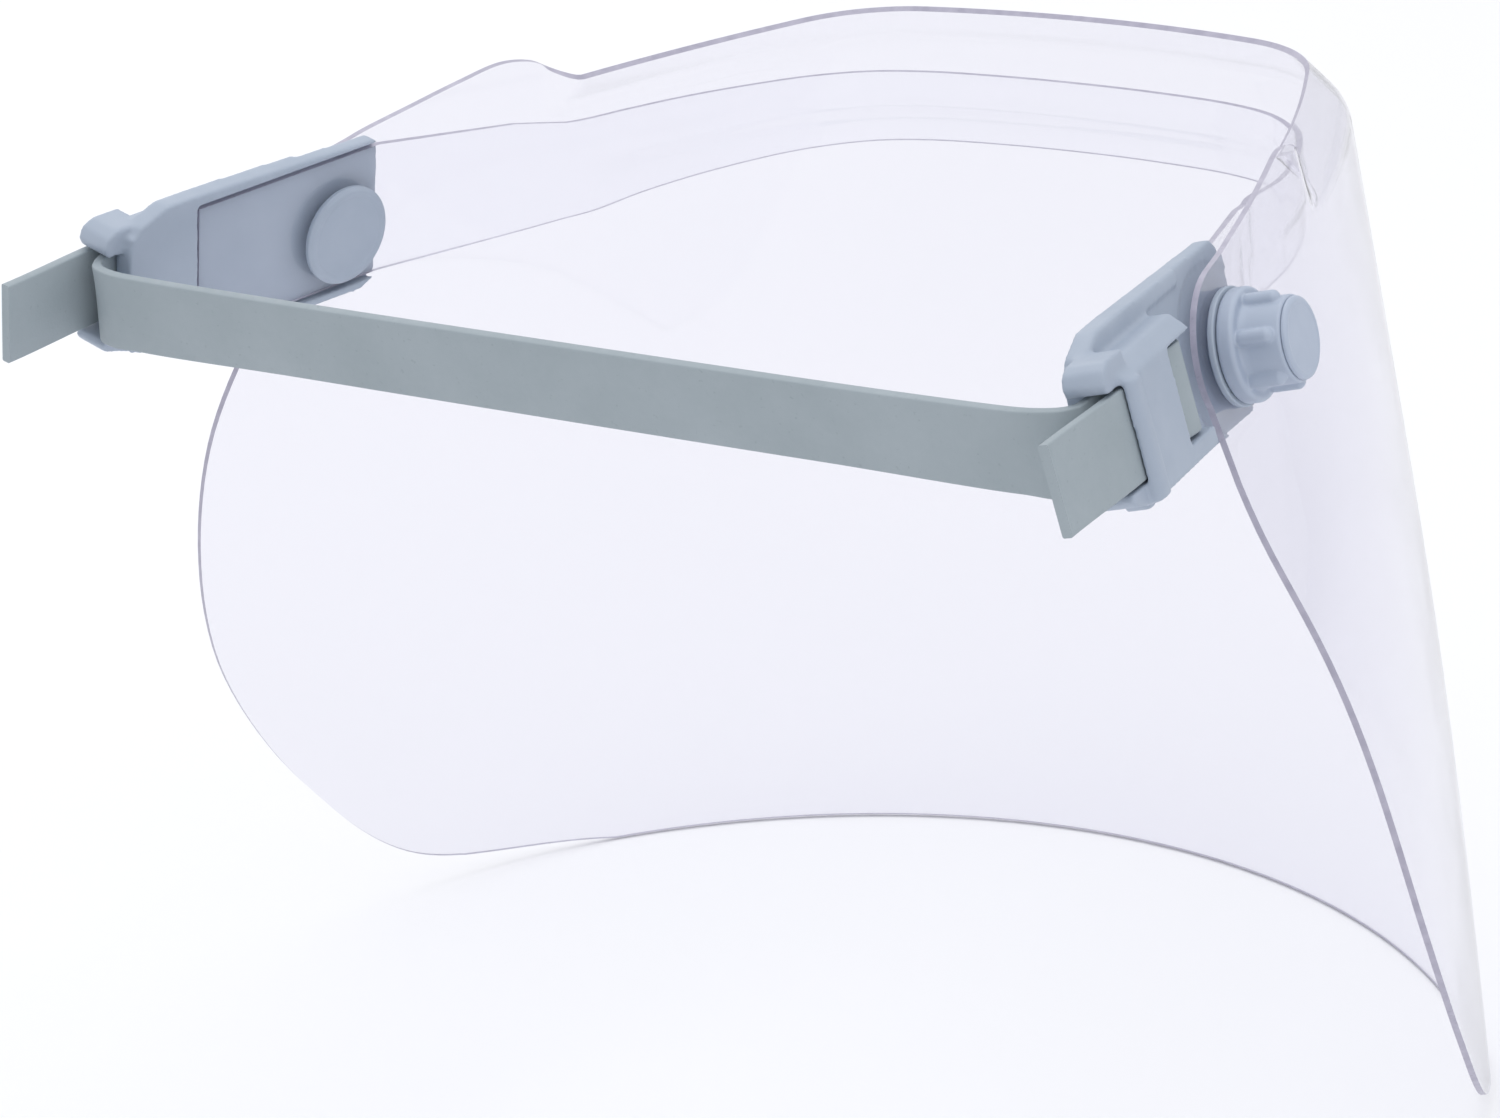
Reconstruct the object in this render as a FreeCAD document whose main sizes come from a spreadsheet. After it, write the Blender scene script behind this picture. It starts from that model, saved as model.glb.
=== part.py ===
"""Face shield: clear wrap-round visor on two side brackets, with a brow strip and a rear rubber strap.

Frame: millimetres, +Z up, visor front towards -Y, X = 0 is the mirror plane,
origin midway between the centres of the two clamp screws.
The +X bracket is modelled in its own leaning frame (u rearward, v up, w outward) and mirrored.
"""
import math
import os

import FreeCAD
import Part

doc = FreeCAD.newDocument("face_shield")
sheet = doc.addObject("Spreadsheet::Sheet", "Sizes")

SIZES = {
    # bracket frame
    "half_spacing": 123.8,
    "toe_deg": 9.0,
    "flare_deg": 12.0,
    # visor sheet
    "sheet_thick": 1.5,
    "rear_reach": 34.0,
    "z_hem": -204.0,
    "z_shoulder": 10.0,
    "z_brow": 20.0,
    "brow_inset": 9.0,
    "lug_radius": 18.3,
    "visor_gap": 3.2,
    "visor_hole_radius": 6.2,
    # inner brow strip
    "strip_thick": 1.5,
    "strip_back": -2.3,
    "strip_bottom": -13.0,
    "strip_end": 44.5,
    # bracket plate
    "rim_inner": -3.4,
    "rim_outer": 2.0,
    "tray_floor": 1.0,
    "lug_floor": 0.4,
    "lug_pocket_radius": 19.0,
    "bolt_hole_radius": 5.2,
    "rim_front": 0.9,
    "rim_step": 12.0,
    # strap housing
    "house_front": 31.0,
    "house_rear": 66.0,
    "house_bottom": -11.5,
    "house_top": 18.5,
    "house_outer": 10.8,
    "channel_front": 32.5,
    "channel_bottom": -7.3,
    "channel_top": 14.3,
    "channel_inner": 2.3,
    "channel_outer": 9.6,
    "window_rear": 43.5,
    "ramp": 3.5,
    "ridge_front": 60.2,
    "ridge_outer": 12.0,
    "ridge_round": 1.1,
    "corner_round": 2.4,
    "cheek_inner": -1.0,
    "cheek_outer": 9.0,
    "foot_outer": 4.5,
    "bar_front": 36.5,
    "bar_rear": 60.0,
    "bar_inner": 5.2,
    "bar_outer": 6.7,
    # clamp screw and washer
    "disc_radius": 12.67,
    "disc_inner": -6.3,
    "disc_outer": -4.35,
    "disc_bevel": 0.6,
    "stud_radius": 4.0,
    "stud_end": 18.5,
    "washer_radius": 13.2,
    "washer_hole_radius": 4.2,
    "washer_outer": 6.2,
    # knob
    "knob_back": 6.45,
    "flange_radius": 12.67,
    "flange_top": 10.4,
    "hub_radius": 9.5,
    "hub_top": 20.0,
    "rib_count": 6,
    "rib_start_deg": 25.0,
    "rib_radius": 1.8,
    "rib_top": 18.8,
    "knob_bore_radius": 4.05,
    "cap_seat": 19.0,
    "cap_spigot_radius": 7.9,
    "cap_radius": 9.1,
    "cap_top": 21.4,
    "cap_bevel": 0.5,
    # rubber strap
    "strap_thick": 2.4,
    "strap_bottom": -6.5,
    "strap_top": 13.5,
    "strap_band_mid": 3.8,
    "strap_tail_mid": 8.1,
    "tail_end": 97.0,
    "tail_end_mid": 4.8,
    "band_y": 75.5,
    "band_lean_deg": -14.0,
}

for row, (name, value) in enumerate(SIZES.items(), start=1):
    sheet.set("A%d" % row, name)
    sheet.set("B%d" % row, str(value))
    sheet.setAlias("B%d" % row, name)
doc.recompute()


def size(name):
    """Value of one spreadsheet cell."""
    return float(getattr(sheet, name))


def vec(x, y, z=0.0):
    return FreeCAD.Vector(x, y, z)


# ---------------------------------------------------------------- bracket frame
toe = math.radians(size("toe_deg"))
flare = math.radians(size("flare_deg"))
U_DIR = vec(math.sin(toe), math.cos(toe), 0.0)
V_DIR = vec(-math.sin(flare) * math.cos(toe), math.sin(flare) * math.sin(toe), math.cos(flare))
W_DIR = U_DIR.cross(V_DIR)
PLATE = FreeCAD.Placement(vec(size("half_spacing"), 0.0, 0.0), FreeCAD.Rotation(U_DIR, V_DIR, W_DIR, "ZXY"))


def plate_point(u, v, w):
    """World position of a point given in the +X bracket's frame."""
    return PLATE.multVec(vec(u, v, w))


# ---------------------------------------------------------------- PartDesign helpers
def new_body(label, placement=PLATE):
    body = doc.addObject("PartDesign::Body", label)
    body.Label = label
    body.Placement = placement
    return body


def origin_plane(body, role):
    for item in body.Origin.OriginFeatures:
        if item.Role == role:
            return item
    raise ValueError(role)


def new_sketch(body, name, level=None, role="XY_Plane"):
    """Sketch on one of the body's planes, lifted to a sheet value along the plane's normal."""
    sketch = body.newObject("Sketcher::SketchObject", name)
    sketch.AttachmentSupport = [(origin_plane(body, role), "")]
    sketch.MapMode = "FlatFace"
    if level:
        sketch.setExpression("AttachmentOffset.Base.z", level)
    return sketch


def add_circle(sketch, radius_cell, x=0.0, y=0.0):
    import Sketcher
    index = sketch.addGeometry(Part.Circle(vec(x, y), vec(0, 0, 1), size(radius_cell)), False)
    constraint = sketch.addConstraint(Sketcher.Constraint("Radius", index, size(radius_cell)))
    sketch.setExpression("Constraints[%d]" % constraint, "Sizes." + radius_cell)


def add_polygon(sketch, points):
    import Sketcher
    count = len(points)
    for i in range(count):
        a = points[i]
        b = points[(i + 1) % count]
        sketch.addGeometry(Part.LineSegment(vec(a[0], a[1]), vec(b[0], b[1])), False)
    for i in range(count):
        sketch.addConstraint(Sketcher.Constraint("Coincident", i, 2, (i + 1) % count, 1))


def rectangle(x0, x1, y0, y1):
    return [(x0, y0), (x1, y0), (x1, y1), (x0, y1)]


def pad(body, sketch, name, length):
    feature = body.newObject("PartDesign::Pad", name)
    feature.Profile = sketch
    feature.setExpression("Length", length)
    sketch.Visibility = False
    doc.recompute()
    return feature


def pocket(body, sketch, name, length, upward=True):
    """Cut along the sketch normal (upward) or against it; complain when nothing is removed."""
    before = body.Shape.Volume
    feature = body.newObject("PartDesign::Pocket", name)
    feature.Profile = sketch
    feature.setExpression("Length", length)
    feature.Reversed = upward
    sketch.Visibility = False
    doc.recompute()
    if body.Shape.Volume > before - 0.01:
        raise RuntimeError("pocket %s cuts nothing" % name)
    return feature


def circle_edges(shape, radius, level):
    """Names of the full circular edges of one radius at one height."""
    names = []
    for i, edge in enumerate(shape.Edges, start=1):
        curve = edge.Curve
        if isinstance(curve, Part.Circle) and abs(curve.Radius - radius) < 1e-3:
            if abs(curve.Center.z - level) < 1e-3:
                names.append("Edge%d" % i)
    return names


def bevel(body, base, name, radius_cell, level_cell, size_cell):
    """Chamfer on a circular edge of a round piece."""
    feature = body.newObject("PartDesign::Chamfer", name)
    feature.Base = (base, circle_edges(base.Shape, size(radius_cell), size(level_cell)))
    feature.setExpression("Size", "Sizes." + size_cell)
    doc.recompute()
    return feature


def straight_edge(shape, start, end):
    """Name of the straight edge between two points of the bracket frame."""
    a, b = plate_point(*start), plate_point(*end)
    for i, edge in enumerate(shape.Edges, start=1):
        ends = [vertex.Point for vertex in edge.Vertexes]
        if len(ends) == 2:
            straight = ends[0].distanceToPoint(a) < 0.01 and ends[1].distanceToPoint(b) < 0.01
            reverse = ends[0].distanceToPoint(b) < 0.01 and ends[1].distanceToPoint(a) < 0.01
            if straight or reverse:
                return "Edge%d" % i
    raise ValueError("no edge from %s to %s" % (start, end))


def mirror(label, source):
    twin = doc.addObject("Part::Mirroring", label)
    twin.Label = label
    twin.Source = source
    twin.Normal = vec(1, 0, 0)
    twin.Base = vec(0, 0, 0)
    return twin


nodes = []

# ---------------------------------------------------------------- bracket
bracket = new_body("bracket_left")
OUTLINE = [
    (-13.0, 19.3), (-13.0, -14.8), (-7.0, -17.8), (18.0, -17.3), (52.0, -15.6), (64.0, -12.0),
    (66.5, -8.0), (66.5, 16.0), (63.0, 20.5), (55.0, 23.6), (46.0, 23.6), (-10.5, 21.8),
]
outline = new_sketch(bracket, "BracketOutline", "Sizes.rim_inner")
add_polygon(outline, OUTLINE)
pad(bracket, outline, "BracketPlate", "Sizes.rim_outer - Sizes.rim_inner")

block = new_sketch(bracket, "HousingOutline", "Sizes.rim_inner")
add_polygon(block, rectangle(size("house_front"), size("house_rear"), size("house_bottom"), size("house_top")))
block_pad = pad(bracket, block, "HousingBlock", "Sizes.house_outer - Sizes.rim_inner")
h_front, h_rear = size("house_front"), size("house_rear")
h_low, h_top, h_out = size("house_bottom"), size("house_top"), size("house_outer")
ramp = bracket.newObject("PartDesign::Chamfer", "HousingRamp")
ramp.Base = (block_pad, [straight_edge(bracket.Shape, (h_front, h_top, h_out), (h_rear, h_top, h_out))])
ramp.setExpression("Size", "Sizes.ramp")
doc.recompute()
ramp_v = h_top - size("ramp")
ridge = new_sketch(bracket, "RidgeOutline", "Sizes.house_outer")
add_polygon(ridge, rectangle(size("ridge_front"), h_rear, h_low, ramp_v))
ridge_pad = pad(bracket, ridge, "StrapExitRidge", "Sizes.ridge_outer - Sizes.house_outer")
r_front, r_out = size("ridge_front"), size("ridge_outer")
ridge_edge = bracket.newObject("PartDesign::Fillet", "RidgeFrontRound")
ridge_edge.Base = (ridge_pad, [straight_edge(bracket.Shape, (r_front, h_low, r_out), (r_front, ramp_v, r_out))])
ridge_edge.setExpression("Radius", "Sizes.ridge_round")
doc.recompute()
corner = bracket.newObject("PartDesign::Fillet", "HousingRearCorner")
corner.Base = (ridge_edge, [straight_edge(bracket.Shape, (h_rear, h_low, r_out), (h_rear, ramp_v, r_out))])
corner.setExpression("Radius", "Sizes.corner_round")
doc.recompute()

CHEEKS = {
    "TopCheek": [(60.0, 14.3), (71.0, 14.3), (72.2, 16.5), (71.0, 19.2), (68.0, 20.6), (60.0, 20.6)],
    "BottomCheek": [(58.0, -7.3), (58.0, -13.6), (64.0, -12.4), (72.0, -10.0), (73.0, -8.6), (72.0, -7.3)],
}
for cheek_name, cheek_points in CHEEKS.items():
    cheek_sketch = new_sketch(bracket, cheek_name + "Outline", "Sizes.cheek_inner")
    add_polygon(cheek_sketch, cheek_points)
    pad(bracket, cheek_sketch, cheek_name, "Sizes.cheek_outer - Sizes.cheek_inner")

foot = new_sketch(bracket, "FootOutline", "Sizes.cheek_inner")
add_polygon(foot, [(52.0, -11.0), (53.5, -15.2), (55.5, -15.9), (58.0, -15.4), (60.5, -11.0)])
pad(bracket, foot, "Foot", "Sizes.foot_outer - Sizes.cheek_inner")

seat = new_sketch(bracket, "StripSeatOutline", "Sizes.rim_inner")
add_polygon(seat, rectangle(-20.0, size("strip_end") + 1.1, -15.6, 20.6))
pocket(bracket, seat, "StripSeat", "Sizes.strip_back + Sizes.strip_thick - Sizes.rim_inner")

tray = new_sketch(bracket, "TrayOutline", "Sizes.tray_floor")
add_polygon(tray, rectangle(-20.0, size("house_front"), -15.0, size("lug_pocket_radius")))
pocket(bracket, tray, "Tray", "Sizes.rim_outer - Sizes.tray_floor + 1")

relief = new_sketch(bracket, "LugReliefOutline", "Sizes.lug_floor")
add_circle(relief, "lug_pocket_radius")
pocket(bracket, relief, "LugRelief", "Sizes.rim_outer - Sizes.lug_floor + 1")

rim_relief = new_sketch(bracket, "RimReliefOutline", "Sizes.rim_front")
add_polygon(rim_relief, rectangle(-20.0, size("rim_step"), 15.0, 26.0))
pocket(bracket, rim_relief, "RimRelief", "Sizes.rim_outer - Sizes.rim_front + 1")

bolt_hole = new_sketch(bracket, "BoltHoleOutline", "Sizes.rim_inner")
add_circle(bolt_hole, "bolt_hole_radius")
pocket(bracket, bolt_hole, "BoltHole", "Sizes.rim_outer - Sizes.rim_inner")

channel = new_sketch(bracket, "ChannelOutline", "Sizes.channel_inner")
add_polygon(channel, rectangle(size("channel_front"), size("house_rear") + 5.0,
                               size("channel_bottom"), size("channel_top")))
pocket(bracket, channel, "StrapChannel", "Sizes.channel_outer - Sizes.channel_inner")

window = new_sketch(bracket, "WindowOutline", "Sizes.channel_inner")
add_polygon(window, rectangle(size("house_front") - 1.0, size("window_rear"),
                              size("channel_bottom"), size("channel_top")))
pocket(bracket, window, "StrapWindow", "Sizes.house_outer - Sizes.channel_inner + 1")

bar = new_sketch(bracket, "BarOutline", "Sizes.bar_inner")
add_polygon(bar, rectangle(size("bar_front"), size("bar_rear"),
                           size("channel_bottom") - 1.0, size("channel_top") + 1.0))
pad(bracket, bar, "StrapBar", "Sizes.bar_outer - Sizes.bar_inner")
nodes.append(bracket)
nodes.append(mirror("bracket_right", bracket))

# ---------------------------------------------------------------- clamp screw
screw = new_body("clamp_screw_left")
disc = new_sketch(screw, "DiscOutline", "Sizes.disc_inner")
add_circle(disc, "disc_radius")
disc_pad = pad(screw, disc, "Disc", "Sizes.disc_outer - Sizes.disc_inner")
stud = new_sketch(screw, "StudOutline", "Sizes.disc_outer")
add_circle(stud, "stud_radius")
pad(screw, stud, "Stud", "Sizes.stud_end - Sizes.disc_outer")
bevel(screw, screw.Tip, "DiscBevel", "disc_radius", "disc_inner", "disc_bevel")
nodes.append(screw)
nodes.append(mirror("clamp_screw_right", screw))

# ---------------------------------------------------------------- washer carried by the visor
washer = new_body("washer_left")
bush = new_sketch(washer, "BushOutline", "Sizes.visor_gap")
add_circle(bush, "visor_hole_radius")
add_circle(bush, "washer_hole_radius")
pad(washer, bush, "Bush", "Sizes.sheet_thick")
collar = new_sketch(washer, "CollarOutline", "Sizes.visor_gap + Sizes.sheet_thick")
add_circle(collar, "washer_radius")
add_circle(collar, "washer_hole_radius")
pad(washer, collar, "Collar", "Sizes.washer_outer - Sizes.visor_gap - Sizes.sheet_thick")
nodes.append(washer)
nodes.append(mirror("washer_right", washer))

# ---------------------------------------------------------------- knob
knob = new_body("knob_left")
flange = new_sketch(knob, "FlangeOutline", "Sizes.knob_back")
add_circle(flange, "flange_radius")
pad(knob, flange, "Flange", "Sizes.flange_top - Sizes.knob_back")
hub = new_sketch(knob, "HubOutline", "Sizes.flange_top")
add_circle(hub, "hub_radius")
pad(knob, hub, "Hub", "Sizes.hub_top - Sizes.flange_top")
rib = new_sketch(knob, "RibOutline", "Sizes.flange_top")
rib_start = math.radians(size("rib_start_deg"))
add_circle(rib, "rib_radius", size("hub_radius") * math.cos(rib_start), size("hub_radius") * math.sin(rib_start))
rib_pad = pad(knob, rib, "Rib", "Sizes.rib_top - Sizes.flange_top")
ribs = knob.newObject("PartDesign::PolarPattern", "Ribs")
ribs.Originals = [rib_pad]
ribs.Axis = (rib, ["N_Axis"])
ribs.Angle = 360
ribs.setExpression("Occurrences", "Sizes.rib_count")
knob.Tip = ribs
doc.recompute()
bore = new_sketch(knob, "BoreOutline", "Sizes.knob_back")
add_circle(bore, "knob_bore_radius")
pocket(knob, bore, "Bore", "Sizes.hub_top - Sizes.knob_back")
cap_seat = new_sketch(knob, "CapSeatOutline", "Sizes.cap_seat")
add_circle(cap_seat, "cap_spigot_radius")
pocket(knob, cap_seat, "CapSeat", "Sizes.hub_top - Sizes.cap_seat")
nodes.append(knob)
nodes.append(mirror("knob_right", knob))

# ---------------------------------------------------------------- knob cap
cap = new_body("knob_cap_left")
spigot = new_sketch(cap, "SpigotOutline", "Sizes.cap_seat")
add_circle(spigot, "cap_spigot_radius")
pad(cap, spigot, "Spigot", "Sizes.hub_top - Sizes.cap_seat")
face = new_sketch(cap, "CapOutline", "Sizes.hub_top")
add_circle(face, "cap_radius")
pad(cap, face, "CapDisc", "Sizes.cap_top - Sizes.hub_top")
bevel(cap, cap.Tip, "CapBevel", "cap_radius", "cap_top", "cap_bevel")
nodes.append(cap)
nodes.append(mirror("knob_cap_right", cap))


# ---------------------------------------------------------------- plan curves of the wrap-round sheets
def plan_arcs(front_y, front_radius, x_corner, x_side):
    """Half plan of the visor: front arc, corner arc and side arc meeting tangentially.

    The tangent heading is 90 degrees at the middle, 80 after the front arc and 27 after the corner arc.
    """
    s80, c80 = math.sin(math.radians(80)), math.cos(math.radians(80))
    s27, c27 = math.sin(math.radians(27)), math.cos(math.radians(27))
    x80 = c80 * front_radius
    y80 = front_y + (1 - s80) * front_radius
    corner = (x_corner - x80) / (c27 - c80)
    y27 = y80 + (s80 - s27) * corner
    end = 2 * math.atan((x_side - x_corner) / (-y27)) - math.radians(27)
    side = -y27 / (s27 - math.sin(end))
    return x80, y80, corner, y27, end, side


def heading_point(x, y, radius, a0, a1):
    """Point reached from (x, y) on an arc turning from heading a0 to a1 (from +Y, curving inwards)."""
    return (x + radius * (math.cos(a1) - math.cos(a0)), y + radius * (math.sin(a0) - math.sin(a1)))


def plan_points(front_y, front_radius, x_corner, x_side, inset):
    """End and middle points of the half plan's arcs, offset inwards by inset."""
    x80, y80, corner, y27, end, side = plan_arcs(front_y, front_radius, x_corner, x_side)
    h80, h27 = math.radians(80), math.radians(27)
    joints = []
    spans = [(0.0, front_y, front_radius, math.radians(90), h80), (x80, y80, corner, h80, h27),
             (x_corner, y27, side, h27, end)]
    for x, y, radius, a0, a1 in spans:
        for angle in (a0, (a0 + a1) / 2, a1):
            px, py = heading_point(x, y, radius, a0, angle)
            joints.append((px - inset * math.cos(angle), py + inset * math.sin(angle)))
    tail_x = x_side + size("rear_reach") * math.tan(end)
    joints.append((tail_x - inset * math.cos(end), size("rear_reach")))
    return joints


def plan_edges(z, points):
    """Edges from the +X rear end round the front to the -X rear end at height z."""
    right = [vec(x, y, z) for x, y in points]
    left = [vec(-x, y, z) for x, y in points]
    edges = [Part.makeLine(right[9], right[8])]
    edges.append(Part.Arc(right[8], right[7], right[6]).toShape())
    edges.append(Part.Arc(right[5], right[4], right[3]).toShape())
    edges.append(Part.Arc(right[2], right[0], left[2]).toShape())
    edges.append(Part.Arc(left[3], left[4], left[5]).toShape())
    edges.append(Part.Arc(left[6], left[7], left[8]).toShape())
    edges.append(Part.makeLine(left[8], left[9]))
    return edges


def sheet_section(name, z, plan, inset, thick):
    """Closed thin U-shaped section of a sheet."""
    outer = plan_edges(z, plan_points(*plan, inset))
    inner = plan_edges(z, plan_points(*plan, inset + thick))
    first = Part.makeLine(inner[0].Vertexes[0].Point, outer[0].Vertexes[0].Point)
    last = Part.makeLine(outer[-1].Vertexes[-1].Point, inner[-1].Vertexes[-1].Point)
    wire = Part.Wire(outer + [last] + [e for e in reversed(inner)] + [first])
    section = doc.addObject("Part::Feature", name)
    section.Shape = wire
    return section


def loft(name, sections, ruled):
    feature = doc.addObject("Part::Loft", name)
    feature.Sections = sections
    feature.Solid = True
    feature.Ruled = ruled
    doc.recompute()
    return feature


def side_prism(name, wire):
    """Solid covering the whole width over a closed outline drawn in the side view."""
    prism = doc.addObject("Part::Feature", name)
    prism.Shape = Part.Face(wire).extrude(vec(600, 0, 0))
    prism.Placement = FreeCAD.Placement(vec(-300, 0, 0), FreeCAD.Rotation())
    return prism


def boolean(kind, name, base, tool):
    feature = doc.addObject("Part::" + kind, name)
    feature.Base = base
    feature.Tool = tool
    doc.recompute()
    return feature


# ---------------------------------------------------------------- visor sheet
# height: front position, front radius, corner position, half width beside the screws
SHOULDER_PLAN = (-166.1, 286.0, 82.2, 126.9)
WALL_PLANS = {
    size("z_hem"): (-149.0, 175.0, 155.9, 180.2),
    -100.0: (-158.5, 235.0, 124.0, 165.8),
    -50.0: (-162.0, 264.0, 104.8, 149.6),
    -20.0: (-164.0, 280.0, 93.0, 135.2),
    size("z_shoulder"): SHOULDER_PLAN,
    30.0: (-167.5, 290.0, 75.0, 122.6),
}


def natural_spline(xs, ys):
    """Second derivatives of the natural cubic spline through the points."""
    count = len(xs)
    before, middle, after, right = [0.0] * count, [1.0] * count, [0.0] * count, [0.0] * count
    for i in range(1, count - 1):
        before[i] = xs[i] - xs[i - 1]
        middle[i] = 2.0 * (xs[i + 1] - xs[i - 1])
        after[i] = xs[i + 1] - xs[i]
        right[i] = 6.0 * ((ys[i + 1] - ys[i]) / after[i] - (ys[i] - ys[i - 1]) / before[i])
    for i in range(1, count):
        share = before[i] / middle[i - 1]
        middle[i] -= share * after[i - 1]
        right[i] -= share * right[i - 1]
    bends = [0.0] * count
    for i in range(count - 2, -1, -1):
        bends[i] = (right[i] - after[i] * bends[i + 1]) / middle[i]
    return bends


def spline_value(xs, ys, bends, x):
    i = 0
    while i < len(xs) - 2 and x > xs[i + 1]:
        i += 1
    step = xs[i + 1] - xs[i]
    p, q = (xs[i + 1] - x) / step, (x - xs[i]) / step
    cubic = (p ** 3 - p) * bends[i] + (q ** 3 - q) * bends[i + 1]
    return p * ys[i] + q * ys[i + 1] + cubic * step * step / 6.0


PLAN_Z = list(WALL_PLANS)
PLAN_COLUMNS = [[WALL_PLANS[z][k] for z in PLAN_Z] for k in range(4)]
PLAN_BENDS = [natural_spline(PLAN_Z, column) for column in PLAN_COLUMNS]


def wall_plan(z):
    """Plan of the wall at height z, smoothly blended between the given heights."""
    return tuple(spline_value(PLAN_Z, column, bends, z) for column, bends in zip(PLAN_COLUMNS, PLAN_BENDS))


thick = size("sheet_thick")
wall_levels = [30.0, size("z_shoulder"), -16.0, -42.0, -68.0, -94.0, -120.0, -147.0, -175.0, size("z_hem")]
wall_sections = []
for number, z in enumerate(wall_levels):
    wall_sections.append(sheet_section("WallSection%d" % number, z, wall_plan(z), 0.0, thick))
wall = loft("VisorWall", wall_sections, False)

lug_y, lug_z = plate_point(0, 0, size("visor_gap") + thick / 2)[1:3]
lug_r = size("lug_radius")
hem = size("z_hem")


def lug_point(degrees):
    """Point on the lug's edge, the angle counted from rearward towards up."""
    a = math.radians(degrees)
    return vec(0, lug_y + lug_r * math.cos(a), lug_z + lug_r * math.sin(a))


rear_edge = [lug_point(-24), vec(0, 15.9, -13.0), vec(0, 17.5, -25.0), vec(0, 18.9, -38.0), vec(0, 18.3, -58.0),
             vec(0, 13.0, -104.0), vec(0, 5.5, -129.0), vec(0, -13.5, -162.7), vec(0, -42.6, -193.5),
             vec(0, -91.0, hem)]
lower_rear = Part.BSplineCurve()
lower_rear.interpolate(rear_edge[2:6])
corner_curve = Part.BSplineCurve()
corner_curve.interpolate(rear_edge[5:])
top_edge = Part.BSplineCurve()
top_edge.interpolate([lug_point(80), vec(0, -14.0, 21.5), vec(0, -27.0, 23.4), vec(0, -42.0, 25.8), vec(0, -55.0, 27.5),
                      vec(0, -64.0, 26.0), vec(0, -70.0, 19.0), vec(0, -74.0, size("z_shoulder"))])
outline_edges = [
    Part.Arc(lug_point(80), lug_point(30), lug_point(-24)).toShape(),
    Part.makeLine(rear_edge[0], rear_edge[1]),
    Part.makeLine(rear_edge[1], rear_edge[2]),
    lower_rear.toShape(),
    corner_curve.toShape(),
    Part.makeLine(rear_edge[9], vec(0, -220.0, hem)),
    Part.makeLine(vec(0, -220.0, hem), vec(0, -220.0, size("z_shoulder"))),
    Part.makeLine(vec(0, -220.0, size("z_shoulder")), vec(0, -74.0, size("z_shoulder"))),
    top_edge.toShape(),
]
visor_side = side_prism("VisorSideOutline", Part.Wire(Part.__sortEdges__(outline_edges)))
wall_cut = boolean("Common", "VisorWallCut", wall, visor_side)

# brow flange: the sheet leans inwards above the shoulder
slant = thick * math.hypot(size("brow_inset"), size("z_brow") - size("z_shoulder"))
slant = slant / (size("z_brow") - size("z_shoulder"))
brow_sections = [
    sheet_section("BrowLower", size("z_shoulder"), SHOULDER_PLAN, 0.0, slant),
    sheet_section("BrowUpper", size("z_brow"), SHOULDER_PLAN, size("brow_inset"), slant),
]
brow = loft("BrowCone", brow_sections, True)
brow_keep = doc.addObject("Part::Box", "BrowKeep")
brow_keep.Length = 400
brow_keep.Width = 150
brow_keep.Height = 60
brow_keep.Placement = FreeCAD.Placement(vec(-200, -222, -20), FreeCAD.Rotation())
brow_cut = boolean("Common", "BrowFlange", brow, brow_keep)
visor_blank = boolean("Fuse", "VisorBlank", wall_cut, brow_cut)


def screw_hole(name, radius_cell, side):
    """Cylinder along one clamp screw's axis."""
    hole = doc.addObject("Part::Cylinder", name)
    hole.setExpression("Radius", "Sizes." + radius_cell)
    hole.Height = 60
    start = plate_point(0, 0, -30)
    direction = FreeCAD.Vector(W_DIR)
    start.x = side * start.x
    direction.x = side * direction.x
    hole.Placement = FreeCAD.Placement(start, FreeCAD.Rotation(vec(0, 0, 1), direction))
    return hole


def two_holes(name, radius_cell):
    pair = doc.addObject("Part::MultiFuse", name)
    pair.Shapes = [screw_hole(name + "Left", radius_cell, 1), screw_hole(name + "Right", radius_cell, -1)]
    doc.recompute()
    return pair


outer_shell = boolean("Cut", "outer_shell", visor_blank, two_holes("VisorHoles", "visor_hole_radius"))
outer_shell.Label = "outer_shell"
nodes.append(outer_shell)

# ---------------------------------------------------------------- inner brow strip
strip_t = size("strip_thick")
STRIP_PATH = [(103.3, -48.0), (99.6, -57.5), (96.0, -66.0), (92.6, -85.0), (85.0, -107.0), (73.5, -127.5),
              (60.0, -140.0), (45.0, -145.8), (22.0, -148.8), (0.0, -149.6)]


def offset_path(points, distance):
    """Points moved inwards, square to the path."""
    moved = []
    last = len(points) - 1
    for i, (x, y) in enumerate(points):
        ax, ay = points[max(i - 1, 0)]
        bx, by = points[min(i + 1, last)]
        length = math.hypot(bx - ax, by - ay)
        if i == last:
            moved.append((x, y + distance))
        else:
            moved.append((x + distance * (by - ay) / length, y - distance * (bx - ax) / length))
    return moved


def full_curve(points, z):
    """Smooth curve through the half path and its mirror image."""
    half = [vec(x, y, z) for x, y in points]
    other = [vec(-p.x, p.y, z) for p in reversed(half[:-1])]
    curve = Part.BSplineCurve()
    curve.interpolate(half + other)
    return curve.toShape()


strip_outer = full_curve(STRIP_PATH, -20.0)
strip_inner = full_curve(offset_path(STRIP_PATH, strip_t), -20.0)
o_ends = [v.Point for v in strip_outer.Vertexes]
i_ends = [v.Point for v in strip_inner.Vertexes]
strip_wire = Part.Wire([strip_outer, Part.makeLine(o_ends[-1], i_ends[-1]), strip_inner,
                        Part.makeLine(i_ends[0], o_ends[0])])
strip_band = doc.addObject("Part::Feature", "StripBandBlank")
strip_band.Shape = Part.Face(strip_wire).extrude(vec(0, 0, 45))
low = size("strip_bottom")
strip_side_points = [vec(0, -47.0, low), vec(0, -170.0, low), vec(0, -170.0, 5.0), vec(0, -120.0, 6.5),
                     vec(0, -85.0, 9.0), vec(0, -62.0, 11.2), vec(0, -47.0, 14.6)]
strip_side = side_prism("StripSideOutline", Part.makePolygon(strip_side_points + [strip_side_points[0]]))
strip_front = boolean("Common", "StripFront", strip_band, strip_side)

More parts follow.
